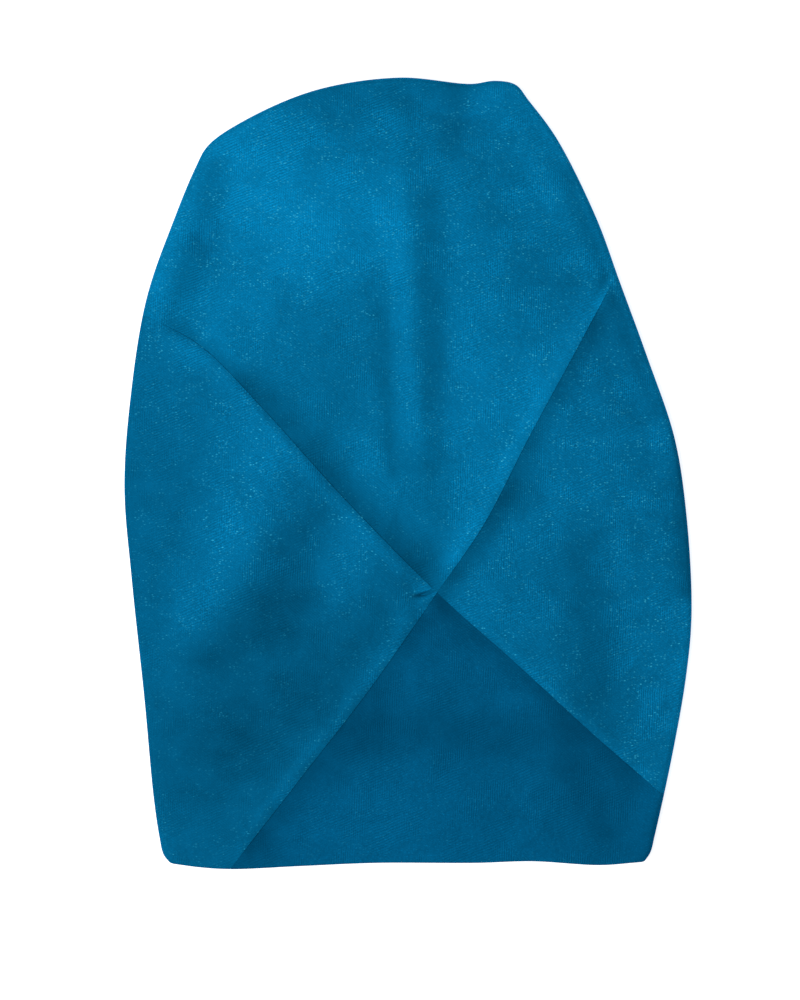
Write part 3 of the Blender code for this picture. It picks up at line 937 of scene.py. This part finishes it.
class Shader:
    """The node tree of one material, with one way to add any node."""

    def __init__(self, name):
        self.material = bpy.data.materials.new(name)
        self.material.use_nodes = True
        self.tree = self.material.node_tree
        self.surface = self.tree.nodes["Principled BSDF"]

    def join(self, node, inputs):
        """Sets or links a node's inputs."""
        for name, value in inputs.items():
            if isinstance(value, Wire):
                self.tree.links.new(value.socket, node.inputs[name])
            else:
                node.inputs[name].default_value = value

    def add(self, kind, settings, inputs, output=0):
        """Adds a node of a type, with its settings and its inputs, and gives one output."""
        node = self.tree.nodes.new("ShaderNode" + kind)
        for name, value in settings.items():
            setattr(node, name, value)
        self.join(node, inputs)
        return Wire(self, node.outputs[output])

    def noise(self, place, size, detail=2.0):
        """Soft noise with features of about this size in millimetres."""
        return self.add("TexNoise", {}, {"Vector": place, "Scale": 1 / size, "Detail": detail})

    def mix(self, factor, first, second):
        """A colour between two colours."""
        return self.add("Mix", {"data_type": "RGBA"}, {0: factor, 6: first, 7: second}, output=2)


def satin(name, tint, line_strength, painted_glint_amount):
    """Satin twill with patches of fine lines and a soft blue gloss, with its painted light and
    shade and painted glints on tiny threads.
    """
    colours = bpy.context.scene.bandana_colours
    shader = Shader(name)
    place = shader.add("Attribute", {"attribute_name": CLOTH_PLACE}, {}, output="Vector")
    place = shader.add("VectorMath", {"operation": "SCALE"}, {0: place, "Scale": MM})
    # the painted light and shade laid on each vertex
    tone = shader.add("Attribute", {"attribute_name": CLOTH_PAINTED_LIGHT}, {}, output="Fac")

    def lines(angle, pitch, wobble):
        """Fine lines at an angle in degrees, a pitch in millimetres apart."""
        across = np.radians(angle + 90)
        direction = (np.cos(across), np.sin(across), 0.0)
        along = shader.add(
            "VectorMath", {"operation": "DOT_PRODUCT"}, {0: place, 1: direction}, output="Value"
        )
        return ((along + wobble) * (2 * np.pi / pitch)).sine()

    wobble = shader.noise(place, 9.0) * 1.6
    twill, upright, slant = [lines(*kind, wobble) for kind in (TWILL, UPRIGHT, SLANT)]
    twill_patches = shader.noise(place, 26.0).ramp(0.44, 0.60)
    upright_patches = shader.noise(place, 19.0, 1.0).ramp(0.50, 0.64)
    dashes = shader.noise(place, 1.3, 1.0).ramp(0.36, 0.60) + 0.15
    # how bright the painted light is here: the weave's lines, the fine grain, the painted sheen
    # dashes and the painted glints show more where it is bright
    painted_lightness = tone.ramp(-0.30, 0.14) * 0.8 + 0.2
    lines_here = twill_patches + upright_patches * 0.8 + 0.25
    weave = twill * twill_patches + upright * upright_patches * 0.8 + slant * 0.25
    threads = (weave + lines_here * 0.8) * dashes * painted_lightness

    mottle = shader.noise(place, 11.0, 4.0) - 0.5
    cloud = shader.noise(place, 55.0) - 0.5
    fleck = shader.noise(place, 2.4) - 0.5
    grain = shader.noise(place, 0.8, 1.0) - 0.5
    stretched = shader.add(
        "VectorMath", {"operation": "MULTIPLY"}, {0: place, 1: THREAD_STRETCH}
    )
    # painted sheen dashes: short bright flecks along the threads
    painted_sheen_dashes = shader.noise(stretched, 0.75, 1.0).ramp(0.56, 0.78)
    fine = fleck * 0.32 + grain * 0.42 + painted_sheen_dashes * 0.55
    # The satin's brightness: the painted light and shade, the random mottle and cloud, and the fine
    # grain, painted sheen dashes and weave's lines scaled by the painted lightness.
    tone = 0.93 + tone + mottle * 0.34 + cloud * 0.22 + fine * painted_lightness + threads * line_strength

    # Painted glints: tiny bright dots in clusters, brightest where the painted light is.
    cells = {"Vector": stretched, "Scale": 0.95}
    distance = shader.add("TexVoronoi", {}, cells, output="Distance")
    pick = shader.add("TexVoronoi", {}, cells, output="Color")
    chosen = shader.add("SeparateColor", {}, {0: pick}, output=0)
    glint = shader.add("SeparateColor", {}, {0: pick}, output=1)
    clusters = shader.noise(place, 9.0, 3.0).ramp(0.40, 0.60)
    dots = (1.0 - distance.ramp(0.16, 0.40)) * chosen.ramp(0.34, 0.44)
    dots = dots * (glint * glint * 0.70 + 0.20)
    painted_glint = dots * (clusters * 0.9 + 0.1) * painted_lightness * painted_glint_amount

    # The tint scaled by the brightness, with its painted light and shade, and the painted glints
    # mixed in.
    base = shader.add("VectorMath", {"operation": "SCALE"}, {0: tuple(tint), "Scale": tone})
    base = shader.mix(painted_glint, base, (*colours.painted_glint, 1.0))
    height = weave * 0.5 + shader.noise(place, 2.2) * 1.2 + shader.noise(place, 7.0) * 3.0
    bump = shader.add(
        "Bump", {}, {"Strength": 1.0, "Distance": BUMP_HEIGHT, "Height": height}, output="Normal"
    )
    shader.join(
        shader.surface,
        {
            "Base Color": base,
            "Roughness": 0.54 + mottle * 0.14,
            "Normal": bump,
            "Specular IOR Level": 0.0,
            "Specular Tint": (*colours.sheen, 1.0),
            "Metallic": 0.14,
        },
    )
    return shader.material


def finish_piece(name, bm, material):
    """Turns a bmesh into a smooth object with its material."""
    bmesh.ops.recalc_face_normals(bm, faces=bm.faces)
    mesh = bpy.data.meshes.new(name)
    bm.to_mesh(mesh)
    bm.free()
    mesh.shade_smooth()
    mesh.set_sharp_from_angle(angle=np.radians(SHARP_ANGLE))
    mesh.materials.append(material)
    thing = bpy.data.objects.new(name, mesh)
    bpy.context.scene.collection.objects.link(thing)
    return thing


def sew_panel(name, panel, material):
    """A grid extruded into a slab, then laid on the panel's outside and inside."""
    across_cells, rows_out = panel.cells
    rows = rows_out + FOLD_CELLS + TURN_CELLS
    bm = bmesh.new()
    bmesh.ops.create_grid(bm, x_segments=across_cells, y_segments=rows, size=0.5)
    place_layer = bm.verts.layers.float_vector.new(CLOTH_PLACE)
    painted_light_layer = bm.verts.layers.float.new(CLOTH_PAINTED_LIGHT)
    made = bmesh.ops.extrude_face_region(bm, geom=bm.faces[:])
    inside = {part for part in made["geom"] if isinstance(part, bmesh.types.BMVert)}
    grid = np.array([vert.co[:2] for vert in bm.verts]) + 0.5
    outer, inner, cloth = panel.surfaces(grid[:, 0], np.round(grid[:, 1] * rows))
    # painted light and shade for each vertex: painted shade in creases, painted highlights along
    # folded edges, and the painted strokes
    tone = panel.tone(cloth)
    for i, vert in enumerate(bm.verts):
        vert.co = inner[i] if vert in inside else outer[i]
        vert[place_layer] = (cloth[i, 0], cloth[i, 1], 0.0)
        vert[painted_light_layer] = tone[i]
    return finish_piece(name, bm, material)


def look(place, target):
    """Turns for an object at a place that points its -Z at a target."""
    x, y, z = np.subtract(place, target)
    flat = np.hypot(x, y)
    return (np.arctan2(flat, z), 0.0, np.arctan2(x, -y))


def declare(thing, node):
    """Hangs the piece on the root body and hides the CAD part that it stands for."""
    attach(thing, "root")
    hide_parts(node)


class BANDANA_OT_back(bpy.types.Operator):
    """Make the plain back panel, which lies on the floor."""

    bl_idname = "bandana.back"
    bl_label = "Back panel"
    bl_options = {"REGISTER", "UNDO"}

    def execute(self, context):
        cap = Cap(context.scene.bandana_sizes)
        colours = context.scene.bandana_colours
        share = np.linspace(0.0, 1.0, BACK_RIM_STEPS)
        depth = cap.sizes.side_fold + SEAM_TURN + SEAM_GAP
        rim = cap.inset(share, np.full_like(share, depth))
        edge = cap.hem.at(np.linspace(1.0, 0.0, BACK_HEM_STEPS))
        kept = (edge[:, 0] > rim[0, 0] + SEAM_TURN) & (edge[:, 0] < rim[-1, 0] - SEAM_TURN)
        border = np.concatenate([rim, edge[kept]])

        bm = bmesh.new()
        place_layer = bm.verts.layers.float_vector.new(CLOTH_PLACE)
        bm.verts.layers.float.new(CLOTH_PAINTED_LIGHT)
        corners = [bm.verts.new((x, y, 0.0)) for x, y in border]
        bm.faces.new(corners)
        for axis, half in ((0, cap.sizes.cap_width / 2), (1, cap.sizes.cap_length / 2)):
            normal = (1.0, 0.0, 0.0) if axis == 0 else (0.0, 1.0, 0.0)
            for cut in np.arange(-half + BACK_CELL, half, BACK_CELL):
                bmesh.ops.bisect_plane(
                    bm,
                    geom=bm.verts[:] + bm.edges[:] + bm.faces[:],
                    dist=SAME_PLACE,
                    plane_co=tuple(cut * c for c in normal),
                    plane_no=normal,
                )
        bmesh.ops.triangulate(bm, faces=bm.faces[:])
        made = bmesh.ops.extrude_face_region(bm, geom=bm.faces[:])
        raised = {part for part in made["geom"] if isinstance(part, bmesh.types.BMVert)}
        plan = np.array([vert.co[:2] for vert in bm.verts])
        away = Line(np.concatenate([border, border[:1]])).nearest(plan)[0]
        wave = (np.sin(plan @ cap.wave_numbers.T + cap.wave_starts) @ cap.wave_heights) ** 2
        lift = cap.sizes.ripple * BACK_WAVES * wave * smooth(away / BACK_WAVES_REACH)
        t = 1 - np.clip(away / cap.sizes.cloth, 0.0, 1.0)
        drawn_in = cap.sizes.cloth / 2 * (1 - THIN_EDGE) * (1 - np.sqrt(1 - t * t))
        from_hem = cap.hem.nearest(plan)[0] - cap.sizes.hem_turn
        turned = cap.sizes.cloth * HEM_THICKER * (1 - smooth(from_hem / HEM_STEP))
        for i, vert in enumerate(bm.verts):
            is_top = vert in raised
            top = cap.sizes.cloth + turned[i] - drawn_in[i]
            vert.co.z = lift[i] + (top if is_top else drawn_in[i])
            vert[place_layer] = (plan[i, 0], plan[i, 1], 0.0)
        material = satin("back_satin_cloth", colours.back, 0.12, 0.5)
        thing = finish_piece("back_cloth", bm, material)
        declare(thing, "back_panel")
        return {"FINISHED"}


class BANDANA_OT_brow(bpy.types.Operator):
    """Make the panel over the brow, the lowest layer of the front."""

    bl_idname = "bandana.brow"
    bl_label = "Brow panel"
    bl_options = {"REGISTER", "UNDO"}

    def execute(self, context):
        cap = Cap(context.scene.bandana_sizes)
        material = satin("brow_satin_cloth", context.scene.bandana_colours.brow, 0.060, 0.20)
        thing = sew_panel("brow_cloth", BrowPanel(cap), material)
        declare(thing, "brow_panel")
        return {"FINISHED"}


class BANDANA_OT_wraps(bpy.types.Operator):
    """Make the right wrap and the left wrap, with their folded edges."""

    bl_idname = "bandana.wraps"
    bl_label = "Wraps"
    bl_options = {"REGISTER", "UNDO"}

    def execute(self, context):
        cap = Cap(context.scene.bandana_sizes)
        material = satin("wrap_satin_cloth", context.scene.bandana_colours.wrap, 0.210, 1.15)
        right = sew_panel("right_wrap_cloth", RightWrap(cap), material)
        left = sew_panel("left_wrap_cloth", LeftWrap(cap), material)
        declare(right, "right_wrap")
        declare(left, "left_wrap")
        return {"FINISHED"}


class BANDANA_OT_crown(bpy.types.Operator):
    """Make the crown, between the two wraps."""

    bl_idname = "bandana.crown"
    bl_label = "Crown"
    bl_options = {"REGISTER", "UNDO"}

    def execute(self, context):
        cap = Cap(context.scene.bandana_sizes)
        material = satin("crown_satin_cloth", context.scene.bandana_colours.crown, 0.210, 1.15)
        thing = sew_panel("crown_cloth", Crown(cap), material)
        declare(
            thing, "crown_panel"
        )
        return {"FINISHED"}


class BANDANA_OT_stage(bpy.types.Operator):
    """Make the pale floor, the soft light and the camera."""

    bl_idname = "bandana.stage"
    bl_label = "Stage"
    bl_options = {"REGISTER", "UNDO"}

    def execute(self, context):
        scene = context.scene
        stage, colours = scene.bandana_stage, scene.bandana_colours
        shader = Shader("pale_floor")
        place = shader.add("TexCoord", {}, {}, output="Object")
        grain = shader.noise(place, FLOOR_GRAIN)
        shader.join(
            shader.surface,
            {
                "Base Color": (*colours.floor, 1.0),
                "Roughness": 0.85 + grain * 0.1,
                "Specular IOR Level": 0.1,
                "Emission Color": WHITE,
                "Emission Strength": stage.floor_glow,
            },
        )
        bm = bmesh.new()
        bmesh.ops.create_grid(bm, x_segments=2, y_segments=2, size=FLOOR_SIZE / 2)
        bmesh.ops.translate(bm, verts=bm.verts[:], vec=(0.0, 0.0, -FLOOR_DROP))
        finish_piece("studio_floor", bm, shader.material)

        lamp = bpy.data.lights.new("soft_lamp", "AREA")
        lamp.size = stage.lamp_size
        lamp.energy = stage.lamp_power
        lamp_object = bpy.data.objects.new("soft_lamp", lamp)
        lamp_object.location = LAMP_PLACE
        lamp_object.rotation_euler = look(LAMP_PLACE, LAMP_TARGET)
        scene.collection.objects.link(lamp_object)

        world = bpy.data.worlds.new("even_light")
        world.use_nodes = True
        inputs = world.node_tree.nodes["Background"].inputs
        inputs["Color"].default_value = WHITE
        inputs["Strength"].default_value = stage.fill
        scene.world = world

        camera = bpy.data.cameras.new("camera")
        camera.sensor_fit = "VERTICAL"
        camera.sensor_height = SENSOR * MM
        middle_height = scene.bandana_sizes.loft / 2
        camera.lens = SENSOR * MM * (stage.camera_height - middle_height) / stage.view_height
        camera_object = bpy.data.objects.new("camera", camera)
        camera_object.location = (*VIEW_CENTRE, stage.camera_height)
        scene.collection.objects.link(camera_object)
        scene.camera = camera_object
        scene.view_settings.view_transform = "Standard"
        return {"FINISHED"}


class BANDANA_PT_panel(bpy.types.Panel):
    """Sizes, colours and the operators, in the sidebar."""

    bl_label = "Pre-tied bandana"
    bl_idname = "BANDANA_PT_panel"
    bl_space_type = "VIEW_3D"
    bl_region_type = "UI"
    bl_category = "Bandana"

    def draw(self, context):
        scene = context.scene
        for group in (scene.bandana_sizes, scene.bandana_colours, scene.bandana_stage):
            box = self.layout.box()
            for name in group.__annotations__:
                box.prop(group, name)
        for operator in OPERATORS:
            self.layout.operator(operator.bl_idname)


OPERATORS = (
    BANDANA_OT_stage,
    BANDANA_OT_back,
    BANDANA_OT_brow,
    BANDANA_OT_wraps,
    BANDANA_OT_crown,
)
CLASSES = (BandanaSizes, BandanaColours, BandanaStage, *OPERATORS, BANDANA_PT_panel)


def register():
    """Adds the classes and their settings to Blender."""
    for made in CLASSES:
        bpy.utils.register_class(made)
    bpy.types.Scene.bandana_sizes = bpy.props.PointerProperty(type=BandanaSizes)
    bpy.types.Scene.bandana_colours = bpy.props.PointerProperty(type=BandanaColours)
    bpy.types.Scene.bandana_stage = bpy.props.PointerProperty(type=BandanaStage)


def unregister():
    """Takes them out again."""
    del bpy.types.Scene.bandana_stage
    del bpy.types.Scene.bandana_colours
    del bpy.types.Scene.bandana_sizes
    for made in reversed(CLASSES):
        bpy.utils.unregister_class(made)


def main():
    """Makes every piece and the stage."""
    register()
    bpy.ops.bandana.stage()
    bpy.ops.bandana.back()
    bpy.ops.bandana.brow()
    bpy.ops.bandana.wraps()
    bpy.ops.bandana.crown()


if __name__ == "__main__":
    main()
